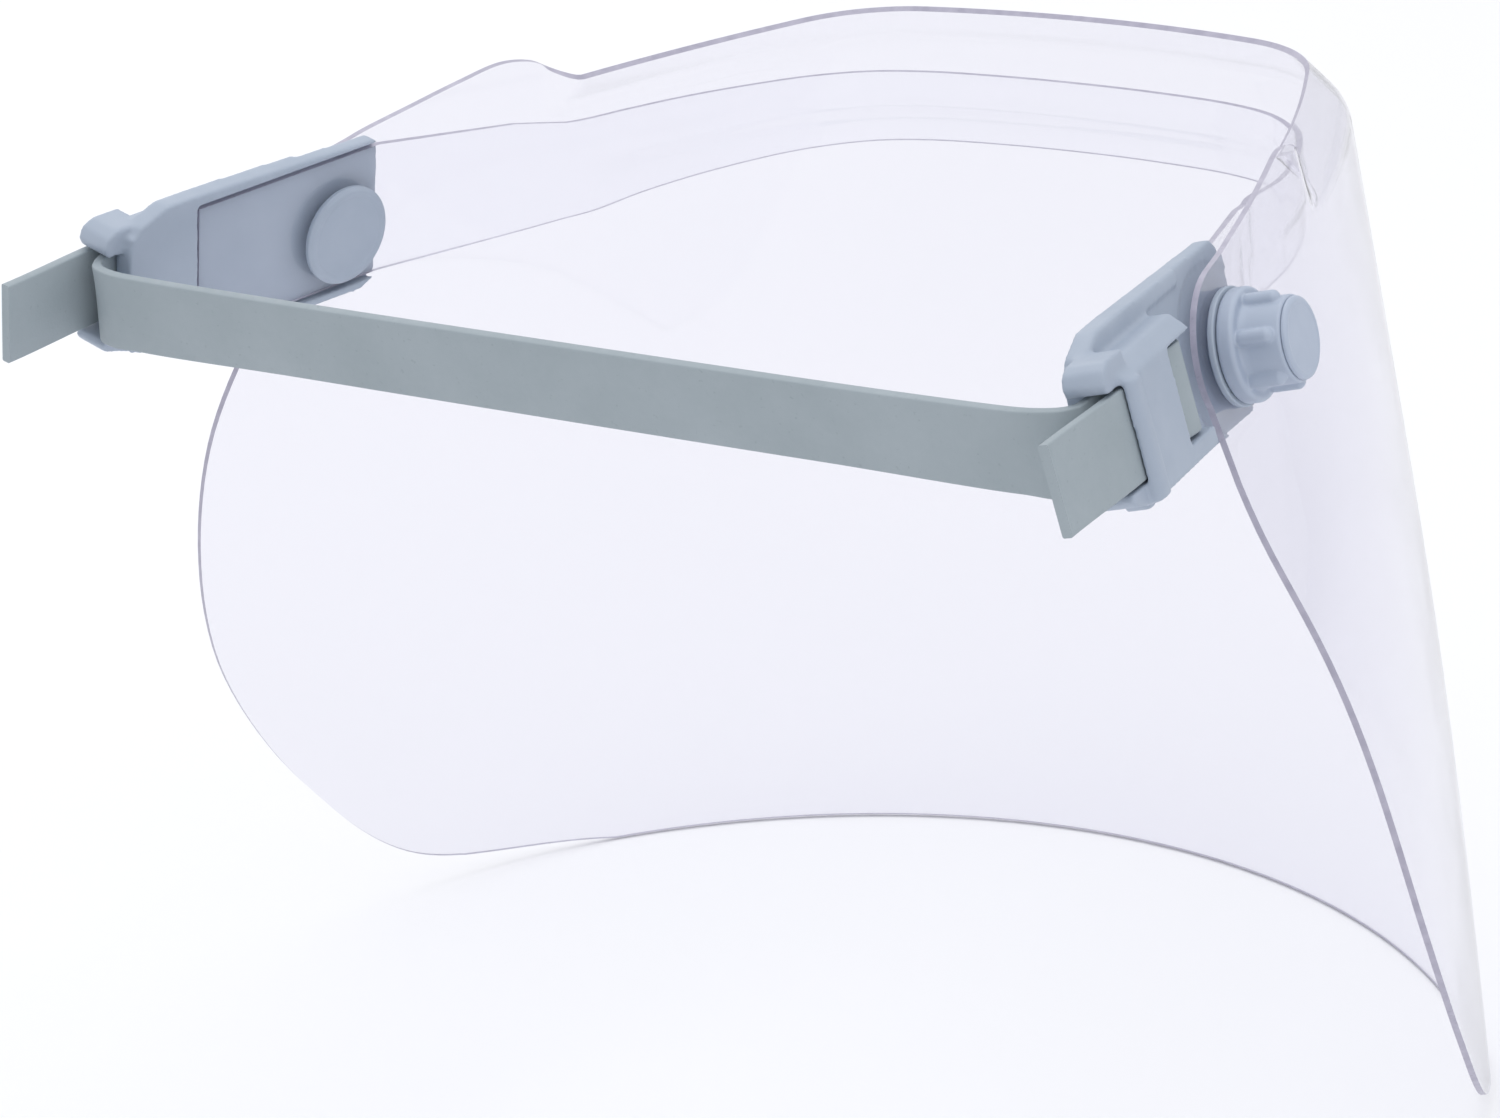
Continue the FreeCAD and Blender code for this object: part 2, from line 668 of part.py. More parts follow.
back = size("strip_back")
tab_corners = [plate_point(-13.0, v, w) for v, w in ((-14.8, back), (-14.8, back + strip_t),
                                                      (19.5, back + strip_t), (19.5, back))]
end_out = FreeCAD.Vector(o_ends[0])
end_in = FreeCAD.Vector(i_ends[0])
end_corners = [vec(end_in.x, end_in.y, low), vec(end_out.x, end_out.y, low),
               vec(end_out.x, end_out.y, 14.5), vec(end_in.x, end_in.y, 14.5)]


def quad(name, corners):
    feature = doc.addObject("Part::Feature", name)
    feature.Shape = Part.makePolygon(corners + [corners[0]])
    return feature


cheek = loft("StripCheek", [quad("CheekRear", tab_corners), quad("CheekFront", end_corners)], True)
tab = doc.addObject("Part::Box", "StripTab")
tab.setExpression("Length", "Sizes.strip_end + 13")
tab.setExpression("Height", "Sizes.strip_thick")
tab.Width = 34.3
tab.Placement = PLATE.multiply(FreeCAD.Placement(vec(-13.0, -14.8, back), FreeCAD.Rotation()))
strip_half = boolean("Fuse", "StripHalf", tab, cheek)
strip_mirror = mirror("StripHalfMirror", strip_half)
strip_whole = doc.addObject("Part::MultiFuse", "StripWhole")
strip_whole.Shapes = [strip_half, strip_front, strip_mirror]
doc.recompute()
inner_strip = boolean("Cut", "inner_strip", strip_whole, two_holes("StripHoles", "bolt_hole_radius"))
inner_strip.Label = "inner_strip"
nodes.append(inner_strip)

# ---------------------------------------------------------------- rubber strap
half_t = size("strap_thick") / 2
mid_band = size("strap_band_mid")
mid_tail = size("strap_tail_mid")
loop_mid = (mid_band + mid_tail) / 2
loop_u = size("bar_front")
exit_u = size("house_rear")
v_low = size("strap_bottom")


def uw(u, w):
    return vec(u, v_low, w)


tail_u, tail_w = size("tail_end"), size("tail_end_mid")
loop_edges = [
    Part.makeLine(uw(exit_u, mid_band - half_t), uw(loop_u, mid_band - half_t)),
    Part.Arc(uw(loop_u, mid_band - half_t), uw(loop_u - (loop_mid - mid_band + half_t), loop_mid),
             uw(loop_u, mid_tail + half_t)).toShape(),
    Part.makeLine(uw(loop_u, mid_tail + half_t), uw(exit_u, mid_tail + half_t)),
    Part.makeLine(uw(exit_u, mid_tail + half_t), uw(tail_u, tail_w + half_t)),
    Part.makeLine(uw(tail_u, tail_w + half_t), uw(tail_u, tail_w - half_t)),
    Part.makeLine(uw(tail_u, tail_w - half_t), uw(exit_u, mid_tail - half_t)),
    Part.makeLine(uw(exit_u, mid_tail - half_t), uw(loop_u, mid_tail - half_t)),
    Part.Arc(uw(loop_u, mid_tail - half_t), uw(loop_u - (loop_mid - mid_band - half_t), loop_mid),
             uw(loop_u, mid_band + half_t)).toShape(),
    Part.makeLine(uw(loop_u, mid_band + half_t), uw(exit_u, mid_band + half_t)),
    Part.makeLine(uw(exit_u, mid_band + half_t), uw(exit_u, mid_band - half_t)),
]
strap_height = size("strap_top") - v_low
strap_loop = doc.addObject("Part::Feature", "StrapLoop")
strap_loop.Shape = Part.Face(Part.Wire(loop_edges)).extrude(vec(0, strap_height, 0))
strap_loop.Placement = PLATE
strap_loop_mirror = mirror("StrapLoopMirror", strap_loop)


def band_section(name, centre, heading_deg, lean_deg, side):
    """Upright rectangle of the band; heading is the band's direction in plan, lean tips its top rearward."""
    h = math.radians(heading_deg)
    lean = math.radians(lean_deg)
    across = vec(math.cos(h), -math.sin(h), 0)
    up = across * (-math.sin(lean)) + vec(0, 0, math.cos(lean))
    out = across * math.cos(lean) + vec(0, 0, math.sin(lean))
    corners = []
    for a, b in ((-1, -1), (-1, 1), (1, 1), (1, -1)):
        p = centre + out * (a * half_t) + up * (b * strap_height / 2)
        corners.append(vec(side * p.x, p.y, p.z))
    return quad(name, corners)


def exit_section(name, u, side):
    corners = []
    for a, b in ((-1, v_low), (-1, v_low + strap_height), (1, v_low + strap_height), (1, v_low)):
        p = plate_point(u, b, mid_band + a * half_t)
        corners.append(vec(side * p.x, p.y, p.z))
    return quad(name, corners)


v_mid = v_low + strap_height / 2
leave = plate_point(exit_u, v_mid, mid_band)
band_y = size("band_y")
lean = size("band_lean_deg")
stations = [
    (leave + vec(-0.9, 5.5, 0.0), -22.0, 9.0),
    (vec(leave.x - 6.5, band_y - 1.2, 3.4), -63.0, 0.0),
    (vec(leave.x - 16.0, band_y, 3.2), -88.0, lean + 4.0),
    (vec(70.0, band_y, 3.0), -90.0, lean),
    (vec(0.0, band_y, 3.0), -90.0, lean),
]
band_sections = [exit_section("BandExitLeft", exit_u, 1)]
for number, (centre, heading, tip) in enumerate(stations):
    band_sections.append(band_section("BandLeft%d" % number, centre, heading, tip, 1))
for number, (centre, heading, tip) in enumerate(reversed(stations[:-1])):
    band_sections.append(band_section("BandRight%d" % number, centre, heading, tip, -1))
band_sections.append(exit_section("BandExitRight", exit_u, -1))
strap_band = loft("StrapBand", band_sections, False)
strap = doc.addObject("Part::MultiFuse", "strap")
strap.Label = "strap"
strap.Shapes = [strap_loop, strap_band, strap_loop_mirror]
nodes.append(strap)

# ---------------------------------------------------------------- check and export
doc.recompute()
os.makedirs("parts", exist_ok=True)
for item in doc.Objects:
    if "Invalid" in item.State or "Error" in item.State:
        raise RuntimeError("feature %s is in error" % item.Name)
for node in nodes:
    shape = node.Shape
    if shape.isNull() or not shape.isValid():
        raise RuntimeError("node %s has no valid shape" % node.Label)
    if len(shape.Solids) != 1:
        raise RuntimeError("node %s has %d solids" % (node.Label, len(shape.Solids)))
    shape.exportStep("parts/%s.step" % node.Label)
    box = shape.BoundBox
    print("%-18s %9.0f mm3  x %7.1f %7.1f  y %7.1f %7.1f  z %7.1f %7.1f" % (
        node.Label, shape.Volume, box.XMin, box.XMax, box.YMin, box.YMax, box.ZMin, box.ZMax))
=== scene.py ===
import math

import bmesh
import bpy
from mathutils import Matrix, Vector


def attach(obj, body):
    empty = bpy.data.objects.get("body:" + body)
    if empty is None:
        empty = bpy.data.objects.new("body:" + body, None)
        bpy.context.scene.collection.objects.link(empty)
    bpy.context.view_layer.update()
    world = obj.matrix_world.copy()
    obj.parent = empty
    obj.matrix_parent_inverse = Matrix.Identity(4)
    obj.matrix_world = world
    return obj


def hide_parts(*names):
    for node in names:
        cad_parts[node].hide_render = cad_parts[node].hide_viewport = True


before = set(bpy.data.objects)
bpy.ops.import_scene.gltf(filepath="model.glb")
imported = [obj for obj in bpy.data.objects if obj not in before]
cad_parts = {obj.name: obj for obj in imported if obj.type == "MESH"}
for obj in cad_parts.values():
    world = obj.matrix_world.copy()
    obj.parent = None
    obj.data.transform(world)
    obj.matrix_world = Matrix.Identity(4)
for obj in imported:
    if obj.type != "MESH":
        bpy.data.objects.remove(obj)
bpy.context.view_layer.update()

MM = 0.001
FLOOR_Z = -0.2046  # just under the visor's lower edge, in metres

# ---------------------------------------------------------------- bracket frame
# u rearward, v up, w outward
TOE, FLARE = math.radians(9.0), math.radians(12.0)
HALF_SPACING = 123.8
U_DIR = Vector((math.sin(TOE), math.cos(TOE), 0.0))
V_DIR = Vector((-math.sin(FLARE) * math.cos(TOE),
                math.sin(FLARE) * math.sin(TOE),
                math.cos(FLARE)))
W_DIR = U_DIR.cross(V_DIR)
SHEET_THICK = 1.5
VISOR_HOLE_RADIUS, STRIP_HOLE_RADIUS = 6.2, 5.2


def plate(u, v, w):
    """Point of the +X bracket's frame, in millimetres."""
    return Vector((HALF_SPACING, 0.0, 0.0)) + U_DIR * u + V_DIR * v + W_DIR * w


def lerp(a, b, t):
    return a + (b - a) * t


def smooth(t):
    """Eased step from 0 to 1 as t goes from 0 to 1."""
    t = min(max(t, 0.0), 1.0)
    return t * t * (3.0 - 2.0 * t)


# ---------------------------------------------------------------- materials
def material(name):
    """New material with its node tree and its Principled shader."""
    mat = bpy.data.materials.new(name)
    mat.use_nodes = True
    tree = mat.node_tree
    return mat, tree, tree.nodes["Principled BSDF"]


def noise(tree, scale, detail=4.0, rough=0.5):
    """Noise in the object's own space; scale is per metre."""
    place = tree.nodes.new("ShaderNodeTexCoord")
    node = tree.nodes.new("ShaderNodeTexNoise")
    node.inputs["Scale"].default_value = scale
    node.inputs["Detail"].default_value = detail
    node.inputs["Roughness"].default_value = rough
    tree.links.new(place.outputs["Object"], node.inputs["Vector"])
    return node.outputs["Fac"]


def ramp(tree, value, low, high, start=0.3, stop=0.7):
    """Maps a noise value between start and stop to low and high."""
    node = tree.nodes.new("ShaderNodeMapRange")
    node.inputs["From Min"].default_value = start
    node.inputs["From Max"].default_value = stop
    node.inputs["To Min"].default_value = low
    node.inputs["To Max"].default_value = high
    tree.links.new(value, node.inputs["Value"])
    return node.outputs["Result"]


def tint(tree, value, dark, light):
    """Colour between dark and light."""
    node = tree.nodes.new("ShaderNodeMix")
    node.data_type = "RGBA"
    node.inputs["A"].default_value = (*dark, 1.0)
    node.inputs["B"].default_value = (*light, 1.0)
    tree.links.new(value, node.inputs["Factor"])
    return node.outputs["Result"]


def bump(tree, shader, height, distance, strength=1.0, under=None):
    """Bump of the given depth in metres, over an earlier bump when one is passed."""
    node = tree.nodes.new("ShaderNodeBump")
    node.inputs["Strength"].default_value = strength
    node.inputs["Distance"].default_value = distance
    tree.links.new(height, node.inputs["Height"])
    if under is not None:
        tree.links.new(under, node.inputs["Normal"])
    if shader is not None:
        tree.links.new(node.outputs["Normal"], shader.inputs["Normal"])
    return node.outputs["Normal"]


def moulded_plastic(name, dark, light, rough_low, rough_high):
    """Satin injection-moulded plastic: cloudy colour, fine spark-eroded grain, faint sink marks."""
    mat, tree, shader = material(name)
    cloud = ramp(tree, noise(tree, 70.0, 3.0), 0.0, 1.0)
    tree.links.new(tint(tree, cloud, dark, light), shader.inputs["Base Color"])
    tree.links.new(ramp(tree, noise(tree, 260.0, 4.0), rough_low, rough_high), shader.inputs["Roughness"])
    sink = bump(tree, None, noise(tree, 60.0, 2.0), 0.00025, 0.5)
    bump(tree, shader, noise(tree, 3600.0, 3.0), 0.00003, 0.5, sink)
    shader.inputs["Specular IOR Level"].default_value = 0.45
    return mat


def strap_rubber():
    """Matt rubber strap: even colour with small pits and dark specks."""
    mat, tree, shader = material("strap_rubber")
    specks = ramp(tree, noise(tree, 900.0, 2.0, 0.4), 0.0, 0.5, 0.68, 0.76)
    cloud = ramp(tree, noise(tree, 45.0, 3.0), 0.0, 1.0)
    base = tint(tree, cloud, (0.310, 0.362, 0.392), (0.342, 0.394, 0.427))
    mix = tree.nodes.new("ShaderNodeMix")
    mix.data_type = "RGBA"
    mix.inputs["B"].default_value = (0.250, 0.295, 0.322, 1.0)
    tree.links.new(specks, mix.inputs["Factor"])
    tree.links.new(base, mix.inputs["A"])
    tree.links.new(mix.outputs["Result"], shader.inputs["Base Color"])
    tree.links.new(ramp(tree, noise(tree, 500.0, 3.0), 0.52, 0.68), shader.inputs["Roughness"])
    pits = bump(tree, None, noise(tree, 1500.0, 3.0), 0.00008, 0.5)
    bump(tree, shader, noise(tree, 120.0, 2.0), 0.0003, 0.35, pits)
    return mat


def clear_sheet(name, colour, passed):
    """Clear polished sheet: soft light shines through, and waviness and haze break the reflections."""
    mat, tree, shader = material(name)
    shader.inputs["Base Color"].default_value = (*colour, 1.0)
    shader.inputs["Transmission Weight"].default_value = 1.0
    shader.inputs["IOR"].default_value = 1.46
    haze = ramp(tree, noise(tree, 26.0, 5.0, 0.6), 0.015, 0.06, 0.35, 0.75)
    tree.links.new(haze, shader.inputs["Roughness"])
    bump(tree, shader, noise(tree, 9.0, 2.0), 0.0004, 0.25)
    rays = tree.nodes.new("ShaderNodeLightPath")
    through = tree.nodes.new("ShaderNodeBsdfTransparent")
    through.inputs["Color"].default_value = (*passed, 1.0)
    either = tree.nodes.new("ShaderNodeMath")
    either.operation = "MAXIMUM"
    tree.links.new(rays.outputs["Is Shadow Ray"], either.inputs[0])
    tree.links.new(rays.outputs["Is Diffuse Ray"], either.inputs[1])
    mix = tree.nodes.new("ShaderNodeMixShader")
    tree.links.new(either.outputs["Value"], mix.inputs["Fac"])
    tree.links.new(shader.outputs["BSDF"], mix.inputs[1])
    tree.links.new(through.outputs["BSDF"], mix.inputs[2])
    tree.links.new(mix.outputs["Shader"], tree.nodes["Material Output"].inputs["Surface"])
    return mat


def cut_edge(name, dark, light):
    """Cut edge of the clear sheet, where light piped along the sheet shows violet-grey."""
    mat, tree, shader = material(name)
    streak = ramp(tree, noise(tree, 300.0, 4.0), 0.0, 1.0)
    tree.links.new(tint(tree, streak, dark, light), shader.inputs["Base Color"])
    tree.links.new(ramp(tree, noise(tree, 900.0, 3.0), 0.25, 0.45), shader.inputs["Roughness"])
    bump(tree, shader, noise(tree, 2200.0, 3.0), 0.00004, 0.6)
    return mat


def floor_paper():
    """Plain pale paper."""
    mat, tree, shader = material("floor_paper")
    shade = tint(tree, noise(tree, 3.0), (0.90, 0.90, 0.91), (0.92, 0.92, 0.93))
    tree.links.new(shade, shader.inputs["Base Color"])
    tree.links.new(ramp(tree, noise(tree, 200.0), 0.6, 0.7), shader.inputs["Roughness"])
    return mat


PLASTIC = moulded_plastic("bracket_plastic", (0.355, 0.412, 0.500), (0.385, 0.442, 0.530), 0.40, 0.54)
KNOB_PLASTIC = moulded_plastic("knob_plastic", (0.400, 0.460, 0.565), (0.430, 0.490, 0.595), 0.36, 0.50)
WASHER = moulded_plastic("washer_rubber", (0.380, 0.440, 0.525), (0.410, 0.470, 0.555), 0.50, 0.62)
RUBBER = strap_rubber()
CLEAR = clear_sheet("clear_sheet", (0.885, 0.880, 0.925), (0.95, 0.95, 0.97))
CLEAR_STRIP = clear_sheet("clear_strip", (0.965, 0.965, 0.985), (0.985, 0.985, 0.99))
EDGE = cut_edge("sheet_edge", (0.375, 0.360, 0.450), (0.465, 0.448, 0.540))


# ---------------------------------------------------------------- mesh helpers
def new_object(name, verts, faces, mats):
    """Object from points in millimetres."""
    mesh = bpy.data.meshes.new(name)
    mesh.from_pydata([tuple(Vector(v) * MM) for v in verts], [], faces)
    mesh.validate()
    obj = bpy.data.objects.new(name, mesh)
    bpy.context.scene.collection.objects.link(obj)
    for mat in mats:
        mesh.materials.append(mat)
    return obj


def apply_modifiers(obj):
    """Turns the modifiers' result into the object's own mesh."""
    graph = bpy.context.evaluated_depsgraph_get()
    baked = bpy.data.meshes.new_from_object(obj.evaluated_get(graph), depsgraph=graph)
    obj.modifiers.clear()
    old = obj.data
    obj.data = baked
    bpy.data.meshes.remove(old)
    return obj


def shade_smooth(obj, angle=None):
    """Smooth shading, with edges sharper than angle degrees left crisp."""
    for poly in obj.data.polygons:
        poly.use_smooth = True
    if angle is not None:
        obj.data.set_sharp_from_angle(angle=math.radians(angle))
    return obj


def recalc(obj):
    """Merges doubled points and turns the faces outwards."""
    bm = bmesh.new()
    bm.from_mesh(obj.data)
    bmesh.ops.remove_doubles(bm, verts=bm.verts, dist=1e-6)
    bmesh.ops.recalc_face_normals(bm, faces=bm.faces)
    bm.to_mesh(obj.data)
    bm.free()


def mirrored(obj, name):
    """Copy of a piece on the other side of the mirror plane."""
    mesh = obj.data.copy()
    mesh.transform(Matrix.Scale(-1.0, 4, Vector((1.0, 0.0, 0.0))))
    mesh.flip_normals()
    twin = bpy.data.objects.new(name, mesh)
    bpy.context.scene.collection.objects.link(twin)
    return twin


def grid_faces(columns, rows):
    """Four-sided faces of a grid stored column by column."""
    faces = []
    for i in range(columns - 1):
        for j in range(rows - 1):
            a = i * rows + j
            faces.append((a, a + rows, a + rows + 1, a + 1))
    return faces


# ---------------------------------------------------------------- visor plan
FRONT_TURN, CORNER_TURN = math.radians(80), math.radians(27)  # headings where the plan's arcs meet
FRONT_SIN, FRONT_COS = math.sin(FRONT_TURN), math.cos(FRONT_TURN)
CORNER_SIN, CORNER_COS = math.sin(CORNER_TURN), math.cos(CORNER_TURN)
PLANS = [  # height, front position, front radius, corner position, half width beside the screws
    (30.0, -167.5, 290.0, 75.0, 122.6),
    (10.0, -166.1, 286.0, 82.2, 126.9),
    (-20.0, -164.0, 280.0, 93.0, 135.2),
    (-50.0, -162.0, 264.0, 104.8, 149.6),
    (-100.0, -158.5, 235.0, 124.0, 165.8),
    (-204.0, -149.0, 175.0, 155.9, 180.2),
]
HEM, SHOULDER, BROW, BROW_INSET = -204.0, 10.0, 20.0, 9.0


def natural_spline(xs, ys):
    """Second derivatives of the natural cubic spline."""
    n = len(xs)
    a, b, c, d = [0.0] * n, [1.0] * n, [0.0] * n, [0.0] * n
    for i in range(1, n - 1):
        a[i] = xs[i] - xs[i - 1]
        b[i] = 2.0 * (xs[i + 1] - xs[i - 1])
        c[i] = xs[i + 1] - xs[i]
        d[i] = 6.0 * ((ys[i + 1] - ys[i]) / c[i] - (ys[i] - ys[i - 1]) / a[i])
    for i in range(1, n):
        m = a[i] / b[i - 1]
        b[i] -= m * c[i - 1]
        d[i] -= m * d[i - 1]
    out = [0.0] * n
    for i in range(n - 2, -1, -1):
        out[i] = (d[i] - c[i] * out[i + 1]) / b[i]
    return out


PLAN_Z = [row[0] for row in reversed(PLANS)]
PLAN_COLS = [[row[k] for row in reversed(PLANS)] for k in range(1, 5)]
PLAN_BEND = [natural_spline(PLAN_Z, col) for col in PLAN_COLS]
plan_cache = {}


def plan_at(z):
    """Arc data of the visor's plan at height z."""
    key = round(z, 4)
    if key in plan_cache:
        return plan_cache[key]
    i = 0
    while i < len(PLAN_Z) - 2 and z > PLAN_Z[i + 1]:
        i += 1
    h = PLAN_Z[i + 1] - PLAN_Z[i]
    p, q = (PLAN_Z[i + 1] - z) / h, (z - PLAN_Z[i]) / h
    row = []
    for col, bend in zip(PLAN_COLS, PLAN_BEND):
        value = p * col[i] + q * col[i + 1]
        value += ((p ** 3 - p) * bend[i] + (q ** 3 - q) * bend[i + 1]) * h * h / 6.0
        row.append(value)
    front_y, front_r, x_corner, x_side = row
    x_front = FRONT_COS * front_r
    y_front = front_y + (1 - FRONT_SIN) * front_r
    corner_r = (x_corner - x_front) / (CORNER_COS - FRONT_COS)
    y_corner = y_front + (FRONT_SIN - CORNER_SIN) * corner_r
    end = 2 * math.atan((x_side - x_corner) / (-y_corner)) - CORNER_TURN
    side_r = -y_corner / (CORNER_SIN - math.sin(end))
    plan_cache[key] = ((0.0, front_y, front_r, math.pi / 2, FRONT_TURN),
                       (x_front, y_front, corner_r, FRONT_TURN, CORNER_TURN),
                       (x_corner, y_corner, side_r, CORNER_TURN, end), (x_side, end))
    return plan_cache[key]


def plan_point(q, z, inset):
    """Point at q along the half plan: 0 at the front, 1 and 2 at arc joints, 3 beside the screw."""
    data = plan_at(z)
    if q >= 3.0:
        x_side, end = data[3]
        y = (q - 3.0) * -data[2][1]
        return (x_side + y * math.tan(end) - inset * math.cos(end), y + inset * math.sin(end))
    k = int(q)
    x, y, r, a0, a1 = data[k]
    a = a0 + (a1 - a0) * (q - k)
    px = x + r * (math.cos(a) - math.cos(a0)) - inset * math.cos(a)
    py = y + r * (math.sin(a0) - math.sin(a)) + inset * math.sin(a)
    return (px, py)


HOOK_FRONT, HOOK_REAR = -77.5, -67.5  # where the S bend joins the brow to the cheek
SHOULDER_ROUND = 3.6
LUG_W = 4.7  # the sheet's outer face beside the bracket
LUG_HOLD_RADIUS, LUG_HOLD_FADE = 14.5, 12.0
CHEEK_Q, CHEEK_Y = 2.5, -40.0  # the sheet beside and behind the bracket
SHEET_TOP = 30.0


def brow_inset(z):
    """How far the sheet has leaned inwards at height z, with a rounded shoulder."""
    rise = z - SHOULDER
    slope = BROW_INSET / (BROW - SHOULDER)
    if rise <= -SHOULDER_ROUND:
        return 0.0
    if rise >= SHOULDER_ROUND:
        return slope * rise
    return slope * (rise + SHOULDER_ROUND) ** 2 / (4.0 * SHOULDER_ROUND)


def pressed_flat(point):
    """The sheet lies flat on the bracket's plane where the screw clamps it."""
    offset = point - plate(0, 0, 0)
    u, v, w = offset.dot(U_DIR), offset.dot(V_DIR), offset.dot(W_DIR)
    hold = 1.0 - smooth((math.hypot(u, v) - LUG_HOLD_RADIUS) / LUG_HOLD_FADE)
    return point + W_DIR * ((LUG_W - w) * hold)


def visor_point(q, z):
    """Outer surface of the visor; a short S bend joins the leaning brow to the upright cheek."""
    wall = plan_point(q, z, 0.0)
    if q > CHEEK_Q and abs(z) < SHEET_TOP:
        flat = pressed_flat(Vector((wall[0], wall[1], z)))
        if wall[1] > CHEEK_Y:
            return flat
    lean = smooth((HOOK_REAR - wall[1]) / (HOOK_REAR - HOOK_FRONT))
    if z <= SHOULDER - 4.0 or lean <= 0.0:
        return Vector((wall[0], wall[1], z))
    front = plan_point(q, min(z, SHOULDER), brow_inset(z))
    return Vector((lerp(wall[0], front[0], lean), lerp(wall[1], front[1], lean), z))


def q_of(y, z):
    """Place along the plan whose outer surface has this y."""
    low, high = 0.0, 4.5
    for _ in range(40):
        mid = (low + high) / 2
        if plan_point(mid, z, 0.0)[1] < y:
            low = mid
        else:
            high = mid
    return (low + high) / 2


# ---------------------------------------------------------------- visor outline in the side view
LUG_Y, LUG_Z, LUG_R = -0.604, 0.821, 18.3


def lug(degrees):
    """Point (y, z) on the lug's round outline."""
    a = math.radians(degrees)
    return (LUG_Y + LUG_R * math.cos(a), LUG_Z + LUG_R * math.sin(a))


def curve_through(points, per_span=14):
    """Catmull-Rom curve through points of any dimension."""
    out = []
    pts = [Vector(p) for p in points]
    for i in range(len(pts) - 1):
        p0 = pts[max(i - 1, 0)]
        p1, p2 = pts[i], pts[i + 1]
        p3 = pts[min(i + 2, len(pts) - 1)]
        d01 = max((p1 - p0).length, 1e-6) ** 0.5
        d12 = max((p2 - p1).length, 1e-6) ** 0.5
        d23 = max((p3 - p2).length, 1e-6) ** 0.5
        m1 = (p2 - p1) if i == 0 else (p2 - p1) + d12 * ((p1 - p0) / d01 - (p2 - p0) / (d01 + d12))
        last = i == len(pts) - 2
        m2 = (p2 - p1) if last else (p2 - p1) + d12 * ((p3 - p2) / d23 - (p3 - p1) / (d12 + d23))
        for k in range(per_span):
            t = k / per_span
            h1 = 2 * t ** 3 - 3 * t ** 2 + 1
            h2 = t ** 3 - 2 * t ** 2 + t
            h3 = -2 * t ** 3 + 3 * t ** 2
            h4 = t ** 3 - t ** 2
            out.append(p1 * h1 + m1 * h2 + p2 * h3 + m2 * h4)
    out.append(pts[-1])
    return out


HEM_END_Y = -91.0
REAR = [(17.5, -25.0), (18.9, -38.0), (18.3, -58.0), (13.0, -104.0), (5.5, -129.0), (-13.5, -162.7),
        (-42.6, -193.5), (HEM_END_Y, HEM)]
TOP = [lug(80), (-7.0, 20.2), (-14.0, 21.5), (-27.0, 23.4), (-42.0, 25.8), (-55.0, 27.4),
       (-64.0, 25.6), (-70.0, 22.4), (HOOK_FRONT, BROW)]
rear_curve = [tuple(p) for p in curve_through(REAR)]
top_curve = [tuple(p) for p in curve_through(TOP)]
SPLIT = 66  # point of rear_curve that is the grid's lower corner, in the round corner of the sheet


def to_domain(points):
    """Side-view points (y, z) as points (q, z) of the sheet."""
    return [Vector((q_of(y, z), z)) for y, z in points]


def resample(domain, fractions):
    """Points at fractions of the true length along a curve in the (q, z) domain."""
    solid = [visor_point(p[0], p[1]) for p in domain]
    run = [0.0]
    for a, b in zip(solid, solid[1:]):
        run.append(run[-1] + (b - a).length)
    out = []
    k = 0
    for f in fractions:
        target = f * run[-1]
        while k < len(run) - 2 and run[k + 1] < target:
            k += 1
        span = run[k + 1] - run[k]
        t = (target - run[k]) / span if span > 0 else 0.0
        out.append(domain[k].lerp(domain[k + 1], min(max(t, 0.0), 1.0)))
    return out


def straight(a, b, count):
    """Points evenly along a straight line."""
    return [Vector(a).lerp(Vector(b), i / count) for i in range(count + 1)]


hem_q = q_of(HEM_END_Y, HEM)
bottom_line = straight((0.0, HEM), (hem_q, HEM), 60)
bottom_line += to_domain(list(reversed(rear_curve[SPLIT:])))[1:]
rear_line = to_domain(list(reversed(rear_curve[:SPLIT + 1])))
rear_line += to_domain([(16.7, -19.0), (15.9, -13.0)] + [lug(a) for a in range(-24, 50, 5)] + [lug(50)])
top_line = straight((0.0, BROW), (q_of(HOOK_FRONT, BROW), BROW), 90)
top_line += to_domain(list(reversed(top_curve)))[1:]
top_line += to_domain([lug(a) for a in range(75, 45, -5)])
middle_line = straight((0.0, HEM), (0.0, BROW), 120)

COLUMNS = 170
WALL_ROWS, CHEEK_ROWS, WALL_SHARE = 30, 35, 0.86  # rows are closer together beside the bracket
RELAX_PASSES, RELAX_COLUMNS, RELAX_ROWS = 120, 50, 28
u_marks = [i / (COLUMNS - 1) for i in range(COLUMNS)]
v_marks = [WALL_SHARE * i / WALL_ROWS for i in range(WALL_ROWS)]
v_marks += [WALL_SHARE + (1.0 - WALL_SHARE) * i / (CHEEK_ROWS - 1) for i in range(CHEEK_ROWS)]
ROWS = len(v_marks)
low_pts = resample(bottom_line, u_marks)
high_pts = resample(top_line, u_marks)
mid_pts = resample(middle_line, v_marks)
end_pts = resample(rear_line, v_marks)


def coons(i, j):
    """Grid point blended from the sheet's four border lines."""
    u, v = u_marks[i], v_marks[j]
    edge = low_pts[i].lerp(high_pts[i], v) + mid_pts[j].lerp(end_pts[j], u)
    corners = low_pts[0].lerp(high_pts[0], v).lerp(low_pts[-1].lerp(high_pts[-1], v), u)
    return edge - corners


domain = [[coons(i, j) for j in range(ROWS)] for i in range(COLUMNS)]
for _ in range(RELAX_PASSES):  # even out the cells beside the round lower corner
    relaxed = []
    for i in range(COLUMNS - RELAX_COLUMNS, COLUMNS - 1):
        for j in range(1, RELAX_ROWS):
            around = domain[i - 1][j] + domain[i + 1][j] + domain[i][j - 1] + domain[i][j + 1]
            relaxed.append((i, j, around / 4.0))
    for i, j, p in relaxed:
        domain[i][j] = p
half = [visor_point(max(p[0], 0.0), min(max(p[1], HEM), SHEET_TOP)) for column in domain for p in column]


